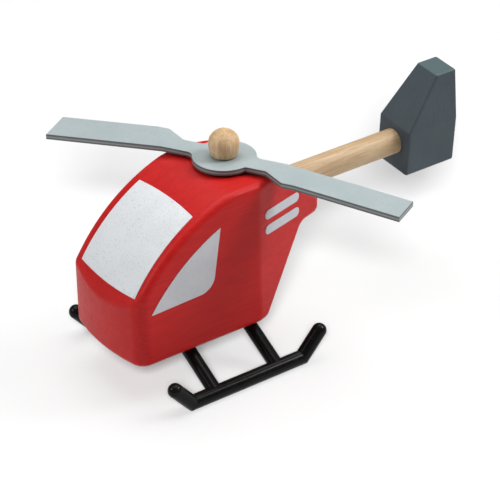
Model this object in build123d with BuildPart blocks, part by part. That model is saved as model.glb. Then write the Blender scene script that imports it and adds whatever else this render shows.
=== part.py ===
"""Wooden toy helicopter, in millimetres.

The nose points to -Y, the toy's left side is +X, and it stands on z = 0 with the middle of its
outline over the origin.  "Aft" distances are measured along +Y from the rotor's axis.
"""
import math
import os

from build123d import *

# ---- driving dimensions ---------------------------------------------------------------------
length = 190.4                  # nose to the back of the fin
nose_reach = 67.2               # nose ahead of the rotor axis
rotor_y = nose_reach - length / 2

# body block
body_half_width = 26.0
belly_z = 18.3
roof_z = 88.4
nose_bow_radius = 95.0          # the nose is bowed, seen from above
nose_corner_radius = {"left": 7.0, "right": 3.7}
slope_centre = (8.3, 7.5)       # (aft, up) centre of the windscreen slope's arc
slope_radius = 84.1
roof_end_aft = 8.5              # the flat of the roof ends here and the back falls away
back_mid = (20.8, 80.6)
back_end = (31.2, 72.9)
tail_aft = 42.2                 # tip of the body, behind the rotor axis
tail_top_z = 63.2
tail_bottom_z = 54.8
tail_root_aft = 29.6
belly_end_aft = 5.1
taper = 0.315                   # sideways per mm aft, behind the crease at the rotor axis
crease_radius = 8.0
edge_radius = 3.2

# painted panels
paint = 0.25
screen_low_half, screen_low_aft, screen_low_mid = 20.9, -62.75, -63.55
screen_top_half, screen_top_aft, screen_top_mid = 20.4, -31.55, -30.4
screen_offset = 0.5             # the print sits a little to the left
window_front = (-57.6, 44.5)
window_arc_mid = (-41.3, 62.3)
window_top = (-20.9, 75.0)
window_corner = (-25.5, 45.6)
window_corner_radius = 8.0
stripe_length, stripe_height = 24.8, 4.5
stripe_tilt = 2.5               # degrees, down towards the tail
stripe_along = 16.2             # middle of a stripe, along the tapered side from the crease
stripe_z = {"upper": 71.0, "lower": 63.5}

# tail
boom_z = 68.4
boom_radius = 6.0
boom_start_aft, boom_end_aft = 12.5, 108.0
fin_front_aft = 94.8
fin_back_aft = length - nose_reach
fin_top_front_aft = 111.8
fin_bottom, fin_crease, fin_top = -14.0, 9.0, 32.9      # heights from the boom's axis
fin_half_low, fin_half_top = 10.95, 7.1
fin_lean = 5.0                  # degrees: the fin is glued on leaning to the left
fin_edge_radius = 1.2

# rotor
pin_radius = 3.0
pin_bottom_z = 70.4
pin_top_z = 99.3
bore_clearance = 0.08           # radial, rotor on its pin
washer_radius, washer_height = 6.5, 1.0
rotor_bottom_z = roof_z + washer_height + 0.1
rotor_thickness = 2.7
rotor_top_z = rotor_bottom_z + rotor_thickness
hub_radius = 14.2
tip_reach = 86.8
blade_lead, blade_trail = 3.2, -13.2        # edges of a blade, across its length
neck_trail = -6.3
neck_end, shoulder = 22.5, 32.7
lead_fillet, trail_fillet = 4.0, 1.6         # where a blade's edges leave the hub
shoulder_fillet = 2.5
rotor_rest_angle = 30.0         # degrees, as the toy is stored
fold_distance = 26.25           # from the axis to the line where a blade starts to droop
fold_turn = 31.0                # degrees from the blade's length to the fold's normal
fold_drop = 0.1166              # drop per mm beyond the fold
rotor_edge_radius = 0.35

# knob on top of the pin
knob_base_z = rotor_top_z + 0.15
knob_base_radius, knob_radius = 6.1, 6.85
knob_foot_radius = 1.5          # rounding at the knob's foot
knob_wide_z = knob_base_z + 6.0
knob_top_z = knob_base_z + 12.5

# landing gear
rod_radius = 3.4
strut_radius = 3.25
skid_x = 39.8
skid_z = 3.1                    # a little under the rod's radius: each skid has a narrow flat
skid_front_aft, skid_back_aft = -47.5, 12.1
toe_angle, toe_length = 49.0, 12.9
heel_angle, heel_length = 47.5, 14.1
strut_aft = {"front": -34.7, "rear": -1.4}
strut_angle = 29.0
strut_reach = 34.0
plate_half_width, plate_thickness, plate_margin = 15.0, 5.2, 3.9
plate_corner_radius = 3.0
screw_spacing = 20.0
screw_radius, screw_head_radius = 1.5, 3.0
screw_head_height, screw_length = 1.6, 15.0
screw_hole_clearance = 0.2
slot_length, slot_width, slot_depth = 3.4, 0.8, 0.9

SIDES = {"left": 1, "right": -1}

# The toy's side view: local x runs aft from the rotor axis, local y is height.
side_view = Plane(origin=(0, rotor_y, 0), x_dir=(0, 1, 0), z_dir=(1, 0, 0))
plan_view = Plane(origin=(0, rotor_y, 0), x_dir=(1, 0, 0), z_dir=(0, 0, 1))
boom_view = Plane(origin=(0, rotor_y, boom_z), x_dir=(-1, 0, 0), z_dir=(0, 1, 0))


def save(piece, name):
    """Label one finished piece and write its STEP file."""
    piece.part.label = name
    export_step(piece.part, f"parts/{name}.step")


def arc_point(radius, height):
    """The point of a circle about the slope's centre at a height, on its front half."""
    aft = slope_centre[0] - math.sqrt(radius**2 - (height - slope_centre[1]) ** 2)
    return (aft, height)


def slope_height(radius, aft):
    """Height of a circle about the slope's centre, at a distance aft."""
    return slope_centre[1] + math.sqrt(radius**2 - (aft - slope_centre[0]) ** 2)


def slope_arc(radius, start, end):
    """Arc about the slope's centre between two of its points."""
    turn_start = math.degrees(math.atan2(start[1] - slope_centre[1], start[0] - slope_centre[0]))
    turn_end = math.degrees(math.atan2(end[1] - slope_centre[1], end[0] - slope_centre[0]))
    return CenterArc(slope_centre, radius, turn_start, turn_end - turn_start)


def runs_along(edge, *directions):
    """Whether an edge is straight and lies along one of the directions."""
    span = (edge.position_at(1) - edge.position_at(0)).normalized()
    straight = edge.geom_type == GeomType.LINE
    return straight and any(abs(span.dot(Vector(*d))) > 0.999 for d in directions)


def strut_axis(side, aft):
    """Plane at the skid's centre line, looking up along a strut."""
    lean = math.radians(strut_angle)
    return Plane(
        origin=(side * skid_x, rotor_y + aft, skid_z),
        x_dir=(0, 1, 0),
        z_dir=(-side * math.cos(lean), 0, math.sin(lean)),
    )


os.makedirs("parts", exist_ok=True)

# ---- body block -----------------------------------------------------------------------------
plate_middle_aft = (strut_aft["front"] + strut_aft["rear"]) / 2
screw_spots = [(0, plate_middle_aft + s * screw_spacing / 2) for s in (-1, 1)]
nose_line = -nose_reach - 3
slope_top = arc_point(slope_radius, roof_z)
slope_low_z = slope_height(slope_radius, nose_line)

with BuildPart() as body_block:
    with BuildSketch(side_view) as profile:
        with BuildLine():
            slope_arc(slope_radius, slope_top, (nose_line, slope_low_z))
            Line((nose_line, slope_low_z), (nose_line, belly_z))
            Line((nose_line, belly_z), (belly_end_aft, belly_z))
            Line((belly_end_aft, belly_z), (tail_root_aft, tail_bottom_z))
            Line((tail_root_aft, tail_bottom_z), (tail_aft, tail_bottom_z))
            Line((tail_aft, tail_bottom_z), (tail_aft, tail_top_z))
            Line((tail_aft, tail_top_z), back_end)
            ThreePointArc(back_end, back_mid, (roof_end_aft, roof_z))
            Line((roof_end_aft, roof_z), slope_top)
        make_face()
        for spot, radius in (
            ((belly_end_aft, belly_z), 5.0),
            ((tail_root_aft, tail_bottom_z), 5.0),
            ((tail_aft, tail_bottom_z), 4.0),
            ((tail_aft, tail_top_z), 3.2),
            ((roof_end_aft, roof_z), 15.0),
            (slope_top, 28.0),
        ):
            fillet(profile.vertices().sort_by_distance(spot)[0], radius)
    extrude(amount=body_half_width, both=True)
    with BuildSketch(plan_view) as outline:
        bow_end = -nose_reach + nose_bow_radius - math.sqrt(nose_bow_radius**2 - body_half_width**2)
        past_tail = tail_aft + 10
        tail_half = body_half_width - taper * past_tail
        with BuildLine():
            ThreePointArc((-body_half_width, bow_end), (0, -nose_reach), (body_half_width, bow_end))
            Polyline(
                (body_half_width, bow_end),
                (body_half_width, 0),
                (tail_half, past_tail),
                (-tail_half, past_tail),
                (-body_half_width, 0),
                (-body_half_width, bow_end),
            )
        make_face()
        for side_name, side in SIDES.items():
            corner = outline.vertices().sort_by_distance((side * body_half_width, bow_end))[0]
            fillet(corner, nose_corner_radius[side_name])
        fillet(outline.vertices().group_by(Axis.Y)[-2], crease_radius)
    extrude(amount=roof_z + 1, mode=Mode.INTERSECT)
    rim = [e for e in body_block.edges() if not runs_along(e, (1, 0, 0), (0, 0, 1))]
    fillet(rim, edge_radius)
    with BuildSketch(plan_view.offset(pin_bottom_z)):
        Circle(pin_radius)
    extrude(amount=roof_z - pin_bottom_z, mode=Mode.SUBTRACT)
    with BuildSketch(boom_view.offset(boom_start_aft)):
        Circle(boom_radius)
    extrude(amount=tail_aft, mode=Mode.SUBTRACT)
    with BuildSketch(plan_view.offset(belly_z)):
        with Locations(*screw_spots):
            Circle(screw_radius)
    extrude(amount=screw_length - plate_thickness, mode=Mode.SUBTRACT)
save(body_block, "body_block")

# ---- painted panels -------------------------------------------------------------------------
with BuildPart() as windscreen:
    with BuildSketch(side_view.offset(screen_offset)):
        with BuildLine():
            low, high = screen_low_mid - 2, screen_top_mid + 2
            inner = [(aft, slope_height(slope_radius, aft)) for aft in (low, high)]
            outer = [(aft, slope_height(slope_radius + paint, aft)) for aft in (low, high)]
            slope_arc(slope_radius, inner[1], inner[0])
            Line(inner[0], outer[0])
            slope_arc(slope_radius + paint, outer[1], outer[0])
            Line(outer[1], inner[1])
        make_face()
    extrude(amount=screen_low_half, both=True)
    with BuildSketch(Plane(origin=(screen_offset, rotor_y, 0))):
        with BuildLine():
            ThreePointArc(
                (-screen_low_half, screen_low_aft), (0, screen_low_mid), (screen_low_half, screen_low_aft)
            )
            Line((screen_low_half, screen_low_aft), (screen_top_half, screen_top_aft))
            ThreePointArc(
                (screen_top_half, screen_top_aft), (0, screen_top_mid), (-screen_top_half, screen_top_aft)
            )
            Line((-screen_top_half, screen_top_aft), (-screen_low_half, screen_low_aft))
        make_face()
    extrude(amount=roof_z, mode=Mode.INTERSECT)
save(windscreen, "windscreen")

for side_name, side in SIDES.items():
    with BuildPart() as side_window:
        with BuildSketch(side_view.offset(side * body_half_width)) as pane:
            with BuildLine():
                ThreePointArc(window_front, window_arc_mid, window_top)
                Polyline(window_top, window_corner, window_front)
            make_face()
            fillet(pane.vertices().sort_by_distance(window_corner)[0], window_corner_radius)
        extrude(amount=side * paint)
    save(side_window, f"side_window_{side_name}")

    turn = math.atan(taper)
    tapered_side = Plane(
        origin=(side * body_half_width, rotor_y, 0),
        x_dir=(-side * math.sin(turn), math.cos(turn), 0),
        z_dir=(side * math.cos(turn), math.sin(turn), 0),
    )
    for stripe_name, height in stripe_z.items():
        with BuildPart() as stripe:
            with BuildSketch(tapered_side):
                with Locations((stripe_along, side * height)):
                    SlotOverall(stripe_length, stripe_height, rotation=-side * stripe_tilt)
            extrude(amount=paint)
        save(stripe, f"stripe_{stripe_name}_{side_name}")

# ---- tail -----------------------------------------------------------------------------------
with BuildPart() as tail_boom:
    with BuildSketch(boom_view.offset(boom_start_aft)):
        Circle(boom_radius)
    extrude(amount=boom_end_aft - boom_start_aft)
    chamfer(tail_boom.edges().filter_by(GeomType.CIRCLE), 0.6)
save(tail_boom, "tail_boom")

lean = math.radians(fin_lean)
fin_upright = Plane(
    origin=(0, rotor_y, boom_z),
    x_dir=(math.cos(lean), 0, -math.sin(lean)),
    z_dir=(math.sin(lean), 0, math.cos(lean)),
)


with BuildPart() as tail_fin:
    for height, half_width, front in (
        (fin_bottom, fin_half_low, fin_front_aft),
        (fin_crease, fin_half_low, fin_front_aft),
        (fin_top, fin_half_top, fin_top_front_aft),
    ):
        with BuildSketch(fin_upright.offset(height)):
            with BuildLine():
                Polyline(
                    (-half_width, front),
                    (half_width, front),
                    (half_width, fin_back_aft),
                    (-half_width, fin_back_aft),
                    close=True,
                )
            make_face()
    loft(ruled=True)
    fillet(tail_fin.edges(), fin_edge_radius)
    with BuildSketch(boom_view.offset(fin_front_aft - 1)):
        Circle(boom_radius)
    extrude(amount=boom_end_aft - fin_front_aft + 1, mode=Mode.SUBTRACT)
save(tail_fin, "tail_fin")

# ---- rotor ----------------------------------------------------------------------------------
rest = math.radians(rotor_rest_angle)
rotor_plan = Plane(origin=(0, rotor_y, 0), x_dir=(math.cos(rest), math.sin(rest), 0), z_dir=(0, 0, 1))
fold = math.radians(rotor_rest_angle + fold_turn)
fold_view = Plane(
    origin=(0, rotor_y, 0),
    x_dir=(math.cos(fold), math.sin(fold), 0),
    z_dir=(math.sin(fold), -math.cos(fold), 0),
)
blade_outline = [
    (0, blade_lead),
    (tip_reach, blade_lead),
    (tip_reach, blade_trail),
    (shoulder, blade_trail),
    (neck_end, neck_trail),
    (0, neck_trail),
]
fold_reach = 100.0
fold_depth = fold_drop * (fold_reach - fold_distance)

with BuildPart() as rotor:
    with BuildSketch(fold_view):
        half_top = [(fold_distance, 0), (fold_reach, -fold_depth)]
        top = [(-s, z) for s, z in reversed(half_top)] + half_top
        with BuildLine():
            Polyline(
                *[(s, rotor_top_z + z) for s, z in top],
                *[(s, rotor_bottom_z + z) for s, z in reversed(top)],
                close=True,
            )
        make_face()
    extrude(amount=fold_reach, both=True)
    with BuildSketch(rotor_plan.offset(rotor_bottom_z - fold_depth)) as plan:
        Circle(hub_radius)
        for half_turn in (0, 180):
            with Locations(Location((0, 0, 0), (0, 0, half_turn))):
                with BuildSketch() as blade:
                    with BuildLine():
                        Polyline(*blade_outline, close=True)
                    make_face()
                    for bend in ((neck_end, neck_trail), (shoulder, blade_trail)):
                        fillet(blade.vertices().sort_by_distance(bend)[0], shoulder_fillet)
                add(blade.sketch)
        for offset, radius in ((blade_lead, lead_fillet), (neck_trail, trail_fillet)):
            reach = math.sqrt(hub_radius**2 - offset**2)
            for end in (1, -1):
                fillet(plan.vertices().sort_by_distance((end * reach, end * offset))[0], radius)
    extrude(amount=fold_depth + rotor_thickness, mode=Mode.INTERSECT)
    walls = rotor.faces().filter_by(lambda face: abs(face.normal_at().Z) < 0.1)
    fillet([e for e in walls.edges() if not runs_along(e, (0, 0, 1))], rotor_edge_radius)
    with BuildSketch(plan_view.offset(rotor_bottom_z)):
        Circle(pin_radius + bore_clearance)
    extrude(amount=rotor_thickness, mode=Mode.SUBTRACT)
save(rotor, "rotor")

with BuildPart() as rotor_pin:
    with BuildSketch(plan_view.offset(pin_bottom_z)):
        Circle(pin_radius)
    extrude(amount=pin_top_z - pin_bottom_z)
save(rotor_pin, "rotor_pin")

with BuildPart() as rotor_washer:
    with BuildSketch(plan_view.offset(roof_z)):
        Circle(washer_radius)
        Circle(pin_radius, mode=Mode.SUBTRACT)
    extrude(amount=washer_height)
save(rotor_washer, "rotor_washer")

dome = math.sqrt(0.5)           # the middle of the knob's quarter-ellipse top
knob_foot_z = knob_base_z + knob_foot_radius
with BuildPart() as rotor_knob:
    with BuildSketch(side_view):
        with BuildLine():
            CenterArc((knob_base_radius - knob_foot_radius, knob_foot_z), knob_foot_radius, -90, 90)
            Spline(
                (knob_base_radius, knob_foot_z), (knob_radius, knob_wide_z), tangents=[(0.2, 1), (0, 1)]
            )
            Spline(
                (knob_radius, knob_wide_z),
                (knob_radius * dome, knob_wide_z + (knob_top_z - knob_wide_z) * dome),
                (0, knob_top_z),
                tangents=[(0, 1), (-1, 0)],
            )
            Line((0, knob_top_z), (0, knob_base_z))
            Line((0, knob_base_z), (knob_base_radius - knob_foot_radius, knob_base_z))
        make_face()
    revolve(axis=Axis((0, rotor_y, 0), (0, 0, 1)))
    with BuildSketch(plan_view.offset(knob_base_z)):
        Circle(pin_radius)
    extrude(amount=pin_top_z - knob_base_z, mode=Mode.SUBTRACT)
save(rotor_knob, "rotor_knob")

# ---- landing gear ---------------------------------------------------------------------------
toe, heel = math.radians(toe_angle), math.radians(heel_angle)
skid_line = [
    (skid_front_aft - toe_length * math.cos(toe), skid_z + toe_length * math.sin(toe)),
    (skid_front_aft, skid_z),
    (skid_back_aft, skid_z),
    (skid_back_aft + heel_length * math.cos(heel), skid_z + heel_length * math.sin(heel)),
]
head_slope = (screw_head_radius - screw_radius) / screw_head_height
plate_length = strut_aft["rear"] - strut_aft["front"] + 2 * plate_margin

with BuildPart() as gear_plate:
    with BuildSketch(plan_view.offset(belly_z - plate_thickness)):
        with Locations((0, plate_middle_aft)):
            RectangleRounded(2 * plate_half_width, plate_length, plate_corner_radius)
    extrude(amount=plate_thickness)
    with Locations(*[(x, rotor_y + aft, belly_z - plate_thickness) for x, aft in screw_spots]):
        with Locations(Rotation(180, 0, 0)):
            CounterSinkHole(
                screw_radius + screw_hole_clearance,
                screw_head_radius,
                counter_sink_angle=2 * math.degrees(math.atan(head_slope)),
            )
save(gear_plate, "gear_plate")

for side_name, side in SIDES.items():
    outboard = Keep.TOP if side > 0 else Keep.BOTTOM
    skid_path = [(side * skid_x, rotor_y + aft, height) for aft, height in skid_line]
    with BuildPart() as skid:
        with BuildLine():
            Polyline(*skid_path)
        start = Vector(skid_path[0])
        with BuildSketch(Plane(origin=start, z_dir=Vector(skid_path[1]) - start)):
            Circle(rod_radius)
        sweep(transition=Transition.RIGHT)
        with Locations(skid_path[0], skid_path[-1]):
            Sphere(rod_radius)
        split(bisect_by=Plane.XY, keep=Keep.TOP)
    save(skid, f"skid_{side_name}")

    for strut_name, aft in strut_aft.items():
        with BuildPart() as strut:
            with BuildSketch(strut_axis(side, aft)):
                Circle(strut_radius)
            extrude(amount=strut_reach)
            split(bisect_by=Plane.XY.offset(belly_z), keep=Keep.BOTTOM)
            split(bisect_by=Plane.YZ.offset(side * plate_half_width), keep=outboard)
            add(skid.part, mode=Mode.SUBTRACT)
        save(strut, f"strut_{strut_name}_{side_name}")

with BuildPart() as gear_screws:
    head_z = belly_z - plate_thickness
    with BuildSketch(plan_view.offset(head_z)):
        with Locations(*screw_spots):
            Circle(screw_radius)
    extrude(amount=screw_length)
    for spot in screw_spots:
        with BuildSketch(plan_view.offset(head_z)):
            with Locations(spot):
                Circle(screw_head_radius)
        with BuildSketch(plan_view.offset(head_z + screw_head_height)):
            with Locations(spot):
                Circle(screw_radius)
        loft()
    with BuildSketch(plan_view.offset(head_z)):
        with Locations(*screw_spots):
            Rectangle(slot_length, slot_width)
            Rectangle(slot_width, slot_length)
    extrude(amount=slot_depth, mode=Mode.SUBTRACT)
save(gear_screws, "gear_screws")
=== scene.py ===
"""The looks of the wooden toy helicopter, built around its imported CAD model.

Lengths are in metres unless a name ends in _mm.  The nose points to -Y, the toy's left side is +X
and it stands on z = 0.
"""
import math

import bpy
from mathutils import Matrix, Vector


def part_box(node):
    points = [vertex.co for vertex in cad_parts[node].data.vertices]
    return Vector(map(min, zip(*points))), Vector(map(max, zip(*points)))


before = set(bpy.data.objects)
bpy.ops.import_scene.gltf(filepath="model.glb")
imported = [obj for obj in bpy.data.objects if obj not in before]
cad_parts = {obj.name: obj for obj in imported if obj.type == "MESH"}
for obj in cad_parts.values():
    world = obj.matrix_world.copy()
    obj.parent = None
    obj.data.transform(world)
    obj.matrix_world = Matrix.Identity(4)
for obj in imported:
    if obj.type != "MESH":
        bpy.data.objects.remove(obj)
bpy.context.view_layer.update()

# ---- camera ---------------------------------------------------------------------------------
VIEW_AZIMUTH = 54.66            # degrees from straight ahead of the nose towards the toy's left
VIEW_ELEVATION = 30.88
VIEW_ROLL = -1.02
VIEW_DISTANCE = 1.0266
VIEW_TARGET = Vector((0.0241, -0.0322, 0.0570))
LENS_MM = 169.8

# ---- light ----------------------------------------------------------------------------------
SKY = 0.15
# The floor is a light table: part of its brightness is its own.
FLOOR_SIZE = 14.0
FLOOR_GREY = 0.32
FLOOR_GLOW = 0.18
FLOOR_ROUGHNESS = 0.9
# Some lights shine only on the toy or only on the floor, so toy and shadow are lit apart.
# Each area light's bearing (as the camera's) and rise in degrees, distance, width, height and power
# in watts, and what it shines on.
LIGHTS = {
    "overhead": (235, 74, 1.7, 1.6, 1.6, 28.5, "everything"),
    "back_right": (150, 42, 1.7, 0.6, 0.6, 21, "toy"),
    "front_left": (-22, 35, 1.7, 0.8, 0.8, 10, "toy"),
    "front": (54, 35, 9.0, 1.9, 1.9, 2230, "floor"),
    "behind": (160, 42, 1.7, 0.6, 0.6, 12, "floor"),
}

# ---- what the finishes need to know of the shapes ---------------------------------------------
ROTOR_SPOT = (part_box("rotor_pin")[0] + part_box("rotor_pin")[1]) / 2
ROTOR_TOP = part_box("rotor")[1].z
BOARD = 0.0027                  # thickness of the rotor's plywood
FOLD_AZIMUTH = 61.0             # degrees: the way each blade's fold line faces at rest
FOLD_DISTANCE = 0.02625         # from the rotor's axis to a fold line
FOLD_DROP = 0.1166              # slope of a blade beyond its fold line

# ---- colours: linear red, green and blue, most of them as two tones of a mottled coat ---------
RED_TONES = ((0.455, 0.009, 0.008), (0.51, 0.013, 0.012))
RED_STREAK = (0.39, 0.007, 0.007)
RED_PORE = (0.25, 0.012, 0.014)
SILVER_TONES = ((0.63, 0.655, 0.675), (0.68, 0.70, 0.72))
SILVER_SPECKLE = (0.36, 0.40, 0.44)
# Painted shade: the side prints get a darker copy of the windscreen's silver, standing in for the
# shade on their sideways faces; its slight violet tint is a guess. With the windscreen's own colour
# they come out too pale in this light.
SIDE_SILVER_SHADED_TONES = ((0.455, 0.455, 0.480), (0.50, 0.50, 0.525))
SIDE_SILVER_SHADED_SPECKLE = (0.30, 0.32, 0.36)
GREY_TONES = ((0.298, 0.350, 0.355), (0.325, 0.375, 0.380))
GREY_STREAK = (0.265, 0.312, 0.320)
BOARD_EDGE = (0.090, 0.102, 0.106)
BOARD_CORE = (0.250, 0.255, 0.252)
SLATE_TONES = ((0.049, 0.066, 0.077), (0.058, 0.077, 0.090))
SLATE_STREAK = (0.045, 0.060, 0.072)
SLATE_TOP_PAINTED_LIGHT = (0.066, 0.100, 0.104)     # painted light, a guess too: the fin's upper face is coloured lighter than its sides, for the light from above
BOOM_TONES = ((0.51, 0.375, 0.225), (0.40, 0.268, 0.140))
KNOB_TONES = ((0.64, 0.455, 0.265), (0.50, 0.320, 0.150))
WOOD_STREAK = (0.33, 0.19, 0.085)
WOOD_PORE = (0.27, 0.15, 0.07)
BLACK_TONES = ((0.0050, 0.0050, 0.0052), (0.0080, 0.0078, 0.0076))
WASHER_TONES = ((0.035, 0.035, 0.036), (0.055, 0.055, 0.055))
ZINC_TONES = ((0.52, 0.52, 0.50), (0.68, 0.68, 0.66))


# ---- small tools for node trees ---------------------------------------------------------------
def put(tree, kind, inputs=None, **settings):
    """Add a node with its settings. An input's value is a number, a colour or another socket."""
    made = tree.nodes.new("ShaderNode" + kind)
    for name, value in settings.items():
        setattr(made, name, value)
    for key, value in (inputs or {}).items():
        if isinstance(value, bpy.types.NodeSocket):
            tree.links.new(value, made.inputs[key])
        else:
            made.inputs[key].default_value = value
    return made


def math_of(tree, operation, *values):
    """The result of one Math node."""
    return put(tree, "Math", dict(enumerate(values)), operation=operation).outputs[0]


def place(tree, per_mm):
    """Position in the frame at rest, scaled by so many pattern units per millimetre on each axis."""
    spot = put(tree, "TexCoord").outputs["Object"]
    scale = tuple(1000 * each for each in per_mm)
    return put(tree, "Mapping", {"Vector": spot, "Scale": scale}).outputs[0]


def noise(tree, per_mm, detail=3.0, warp=0.0):
    """Smooth noise between about 0.3 and 0.7."""
    inputs = {"Vector": place(tree, per_mm), "Scale": 1.0, "Detail": detail}
    inputs.update({"Roughness": 0.55, "Distortion": warp})
    return put(tree, "TexNoise", inputs).outputs[0]


def ramp(tree, value, low, high, out_low=0.0, out_high=1.0):
    """Map a value from low..high to out_low..out_high, held at both ends."""
    inputs = {"Value": value, "From Min": low, "From Max": high}
    inputs.update({"To Min": out_low, "To Max": out_high})
    return put(tree, "MapRange", inputs).outputs[0]


def mix(tree, share, first, second):
    """Colour between first and second."""
    made = put(tree, "Mix", data_type="RGBA")
    for index, value in ((0, share), (6, first), (7, second)):
        if isinstance(value, bpy.types.NodeSocket):
            tree.links.new(value, made.inputs[index])
        elif index == 0:
            made.inputs[index].default_value = value
        else:
            made.inputs[index].default_value = (*value, 1.0)
    return made.outputs[2]


def mottled(tree, tones, per_mm):
    """A coat that wanders between two tones."""
    return mix(tree, ramp(tree, noise(tree, per_mm), 0.35, 0.65), *tones)


def marked(tree, base, colour, per_mm, detail, low, high, share):
    """A base with marks of another colour wherever the noise rises from low to high."""
    return mix(tree, ramp(tree, noise(tree, per_mm, detail), low, high, 0.0, share), base, colour)


def finish_of(name, colour_of, roughness, relief=None, depth_mm=0.0, **sockets):
    """A material whose colour and relief come from functions of its node tree.

    Its roughness is the lowest, the highest and the pattern's scale per millimetre on each axis.
    """
    material = bpy.data.materials.new(name)
    material.use_nodes = True
    tree = material.node_tree
    shader = tree.nodes["Principled BSDF"]
    tree.links.new(colour_of(tree), shader.inputs["Base Color"])
    low, high, per_mm = roughness
    tree.links.new(ramp(tree, noise(tree, per_mm), 0.3, 0.7, low, high), shader.inputs["Roughness"])
    if relief:
        inputs = {"Height": relief(tree), "Distance": depth_mm / 1000, "Strength": 1.0}
        tree.links.new(put(tree, "Bump", inputs).outputs[0], shader.inputs["Normal"])
    for socket, value in sockets.items():
        shader.inputs[socket.replace("_", " ")].default_value = value
    return material


# ---- finishes ---------------------------------------------------------------------------------
def relief_of(per_mm, detail):
    """A relief of fine noise."""
    return lambda tree: noise(tree, per_mm, detail)


def plain_colour(tones, per_mm):
    """A colour that is only mottled."""
    return lambda tree: mottled(tree, tones, per_mm)


def red_colour(tree):
    """Red paint soaked into wood: broad unevenness, fine streaks and a few darker pores."""
    base = mottled(tree, RED_TONES, (0.05, 0.02, 0.05))
    base = marked(tree, base, RED_STREAK, (0.9, 0.06, 0.9), 4, 0.38, 0.70, 0.75)
    return marked(tree, base, RED_PORE, (1.6, 0.22, 1.6), 2, 0.66, 0.74, 0.5)


def print_colour(tones, speckle, share):
    """Pale silver print with fine darker speckle."""
    def colour(tree):
        base = mottled(tree, tones, (0.08, 0.08, 0.08))
        return marked(tree, base, speckle, (1.25, 1.25, 1.25), 3, 0.56, 0.70, share)
    return colour


def facing_up(tree):
    """How level a surface is, from 0 on an upright edge to 1 on a flat face."""
    normal = put(tree, "NewGeometry").outputs["Normal"]
    level = math_of(tree, "ABSOLUTE", put(tree, "SeparateXYZ", {0: normal}).outputs[2])
    return ramp(tree, level, 0.55, 0.9)


def board_height(tree):
    """Height within the rotor's board, 0 at its lower face and 1 at its top, drooped blades included."""
    spot = put(tree, "TexCoord").outputs["Object"]
    turn = math.radians(FOLD_AZIMUTH)
    from_axis = put(tree, "VectorMath", {0: spot, 1: ROTOR_SPOT}, operation="SUBTRACT").outputs[0]
    way = (math.cos(turn), math.sin(turn), 0)
    across = put(tree, "VectorMath", {0: from_axis, 1: way}, operation="DOT_PRODUCT").outputs["Value"]
    beyond = math_of(tree, "SUBTRACT", math_of(tree, "ABSOLUTE", across), FOLD_DISTANCE)
    drop = math_of(tree, "MULTIPLY", math_of(tree, "MAXIMUM", beyond, 0.0), FOLD_DROP)
    height = math_of(tree, "ADD", put(tree, "SeparateXYZ", {0: spot}).outputs[2], drop)
    return ramp(tree, height, ROTOR_TOP - BOARD, ROTOR_TOP)


def grey_colour(tree):
    """Blue-grey paint on the faces; on the edges a darker, thinner coat over the plies."""
    face = mottled(tree, GREY_TONES, (0.06, 0.06, 0.06))
    face = marked(tree, face, GREY_STREAK, (0.5, 0.5, 0.5), 4, 0.5, 0.7, 0.35)
    off_middle = math_of(tree, "ABSOLUTE", math_of(tree, "SUBTRACT", board_height(tree), 0.5))
    core = ramp(tree, off_middle, 0.10, 0.20, 1.0, 0.0)
    return mix(tree, facing_up(tree), mix(tree, core, BOARD_EDGE, BOARD_CORE), face)


def slate_colour(tree):
    """Dark slate paint with the grain's faint upright streaks, and painted light: lighter where it faces
    up.
    """
    base = mottled(tree, SLATE_TONES, (0.06, 0.06, 0.04))
    base = marked(tree, base, SLATE_STREAK, (0.9, 0.9, 0.08), 4, 0.45, 0.7, 0.5)
    # Painted light: faces that point up are coloured lighter, for the light from above.
    return mix(tree, facing_up(tree), base, SLATE_TOP_PAINTED_LIGHT)


def along_grain(grain, per_mm, stretch):
    """The scale on each axis of a pattern that is stretched along the grain ("y" or "z")."""
    return tuple(per_mm * (stretch if axis == grain else 1) for axis in "xyz")


def wood_colour(tones, grain):
    """Pale hardwood: long streaks of two tones, finer ones and short darker pores."""
    def colour(tree):
        broad = noise(tree, along_grain(grain, 0.25, 0.12), warp=0.4)
        base = mix(tree, ramp(tree, broad, 0.36, 0.62), *tones)
        fine = along_grain(grain, 1.3, 0.05)
        base = marked(tree, base, WOOD_STREAK, fine, 4, 0.42, 0.68, 0.65)
        pores = along_grain(grain, 2.4, 0.12)
        return marked(tree, base, WOOD_PORE, pores, 2, 0.62, 0.72, 0.6)
    return colour


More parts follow.
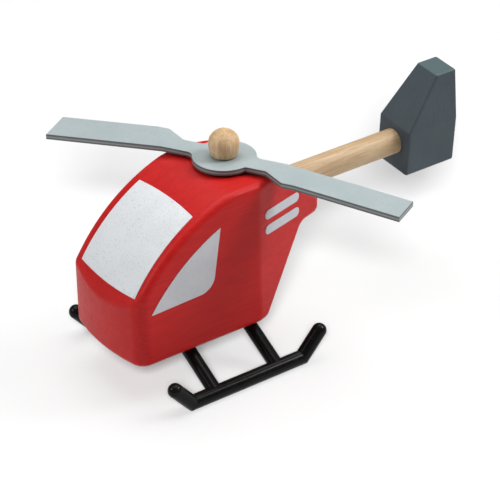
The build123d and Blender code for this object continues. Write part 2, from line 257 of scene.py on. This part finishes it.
def make_finishes():
    """Every material, by the name that dress() uses."""
    smooth = relief_of((2.2, 2.2, 2.2), 2)
    grain_along_body = relief_of((1.1, 0.08, 1.1), 4)
    grain_up_fin = relief_of((1.1, 1.1, 0.08), 4)
    screen = print_colour(SILVER_TONES, SILVER_SPECKLE, 0.6)
    # Painted shade: the side prints' silver is a darker copy of the windscreen's.
    side_print_shaded = print_colour(SIDE_SILVER_SHADED_TONES, SIDE_SILVER_SHADED_SPECKLE, 0.45)
    boom, boom_grain = wood_colour(BOOM_TONES, "y"), relief_of(along_grain("y", 1.8, 0.06), 4)
    knob, knob_grain = wood_colour(KNOB_TONES, "z"), relief_of(along_grain("z", 1.8, 0.06), 4)
    black = plain_colour(BLACK_TONES, (0.2, 0.2, 0.2))
    washer = plain_colour(WASHER_TONES, (0.5, 0.5, 0.5))
    zinc = plain_colour(ZINC_TONES, (2.0, 2.0, 2.0))
    # These reflect less than paint or plastic does (0.5), to keep their colours deep: a guess.
    red_gloss = {"Specular_IOR_Level": 0.16}
    slate_gloss = {"Specular_IOR_Level": 0.2}
    black_gloss = {"Specular_IOR_Level": 0.1}
    print_roughness = (0.38, 0.5, (0.4, 0.4, 0.4))
    red_roughness = (0.36, 0.48, (0.3, 0.1, 0.3))
    grey_roughness = (0.36, 0.48, (0.3, 0.3, 0.3))
    slate_roughness = (0.38, 0.5, (0.3, 0.3, 0.1))
    return {
        "red": finish_of("red_paint", red_colour, red_roughness, grain_along_body, 0.035, **red_gloss),
        "silver": finish_of("silver_paint", screen, print_roughness, smooth, 0.015),
        "side_silver_painted_shade": finish_of("side_silver_painted_shade", side_print_shaded, print_roughness, smooth, 0.015),
        "grey": finish_of("grey_paint", grey_colour, grey_roughness, smooth, 0.015),
        "slate": finish_of("slate_paint", slate_colour, slate_roughness, grain_up_fin, 0.03, **slate_gloss),
        "boom": finish_of("boom_wood", boom, (0.45, 0.6, (0.6, 0.1, 0.6)), boom_grain, 0.03),
        "knob": finish_of("knob_wood", knob, (0.45, 0.6, (0.6, 0.6, 0.1)), knob_grain, 0.03),
        "black": finish_of(
            "black_plastic", black, (0.16, 0.24, (0.4, 0.4, 0.4)), smooth, 0.006, **black_gloss
        ),
        "washer": finish_of("washer_plastic", washer, (0.5, 0.6, (0.5, 0.5, 0.5))),
        "zinc": finish_of("screw_zinc", zinc, (0.28, 0.4, (1.5, 1.5, 1.5)), Metallic=1.0),
    }


FINISH_OF_NODE = {
    "body_block": "red",
    "windscreen": "silver",
    # The side prints get the darkened silver, which is painted shade.
    "side_window": "side_silver_painted_shade",
    "stripe": "side_silver_painted_shade",
    "tail_boom": "boom",
    "tail_fin": "slate",
    "rotor_pin": "knob",
    "rotor_knob": "knob",
    "rotor_washer": "washer",
    "rotor": "grey",
    "gear_plate": "black",
    "gear_screws": "zinc",
    "skid": "black",
    "strut": "black",
}


def dress(finishes):
    """Give every CAD node its material, by the longest matching name."""
    for name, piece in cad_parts.items():
        known = max((key for key in FINISH_OF_NODE if name.startswith(key)), key=len)
        piece.data.materials.clear()
        piece.data.materials.append(finishes[FINISH_OF_NODE[known]])


# ---- stage --------------------------------------------------------------------------------------
def make_camera():
    """The camera stands at the given bearing from the target and is rolled a little."""
    turn, rise, roll = (math.radians(a) for a in (VIEW_AZIMUTH, VIEW_ELEVATION, VIEW_ROLL))
    back = Vector((math.sin(turn) * math.cos(rise), -math.cos(turn) * math.cos(rise), math.sin(rise)))
    level = Vector((math.cos(turn), math.sin(turn), 0))
    up = back.cross(level)
    right = math.cos(roll) * level + math.sin(roll) * up
    up = math.cos(roll) * up - math.sin(roll) * level
    data = bpy.data.cameras.new("camera")
    data.lens = LENS_MM
    data.clip_start = 0.05
    data.clip_end = 50
    camera = bpy.data.objects.new("camera", data)
    camera.matrix_world = Matrix.Translation(VIEW_TARGET + VIEW_DISTANCE * back) @ Matrix(
        (right, up, back)
    ).transposed().to_4x4()
    bpy.context.scene.collection.objects.link(camera)
    bpy.context.scene.camera = camera


def make_floor():
    """A plain pale floor."""
    mesh = bpy.data.meshes.new("floor")
    half = FLOOR_SIZE / 2
    corners = [(-half, -half, 0), (half, -half, 0), (half, half, 0), (-half, half, 0)]
    mesh.from_pydata(corners, [], [(0, 1, 2, 3)])
    floor = bpy.data.objects.new("floor", mesh)
    material = bpy.data.materials.new("floor")
    material.use_nodes = True
    shader = material.node_tree.nodes["Principled BSDF"]
    shader.inputs["Base Color"].default_value = (FLOOR_GREY, FLOOR_GREY, FLOOR_GREY, 1)
    shader.inputs["Roughness"].default_value = FLOOR_ROUGHNESS
    shader.inputs["Specular IOR Level"].default_value = 0.0
    shader.inputs["Emission Color"].default_value = (1, 1, 1, 1)
    shader.inputs["Emission Strength"].default_value = FLOOR_GLOW
    mesh.materials.append(material)
    bpy.context.scene.collection.objects.link(floor)
    return floor


def softbox(name, bearing, rise, distance, width, height, power):
    """An area light that faces the toy from a bearing (as the camera's) and a rise, in degrees."""
    turn, up = math.radians(bearing), math.radians(rise)
    back = Vector((math.sin(turn) * math.cos(up), -math.cos(turn) * math.cos(up), math.sin(up)))
    data = bpy.data.lights.new(name, "AREA")
    data.shape = "RECTANGLE"
    data.size = width
    data.size_y = height
    data.energy = power
    light = bpy.data.objects.new(name, data)
    light.location = VIEW_TARGET + distance * back
    light.rotation_mode = "QUATERNION"
    light.rotation_quaternion = back.to_track_quat("Z", "Y")
    bpy.context.scene.collection.objects.link(light)
    return light


def aim_at(light, floor, reach):
    """Let a light shine on the floor alone ("floor"), on all but the floor ("toy") or everything."""
    if reach == "everything":
        return
    group = bpy.data.collections.new(light.name + "_reach")
    group.objects.link(floor)
    group.collection_objects[0].light_linking.link_state = "INCLUDE" if reach == "floor" else "EXCLUDE"
    light.light_linking.receiver_collection = group


def make_light(floor):
    """A dim surround, a broad light overhead, two on the toy and two on the floor."""
    world = bpy.data.worlds.new("surround")
    world.use_nodes = True
    background = world.node_tree.nodes["Background"]
    background.inputs["Color"].default_value = (1, 1, 1, 1)
    background.inputs["Strength"].default_value = SKY
    bpy.context.scene.world = world
    bpy.context.scene.view_settings.view_transform = "Standard"
    for name, (*where_and_how, reach) in LIGHTS.items():
        aim_at(softbox(name, *where_and_how), floor, reach)


make_camera()
make_light(make_floor())
dress(make_finishes())
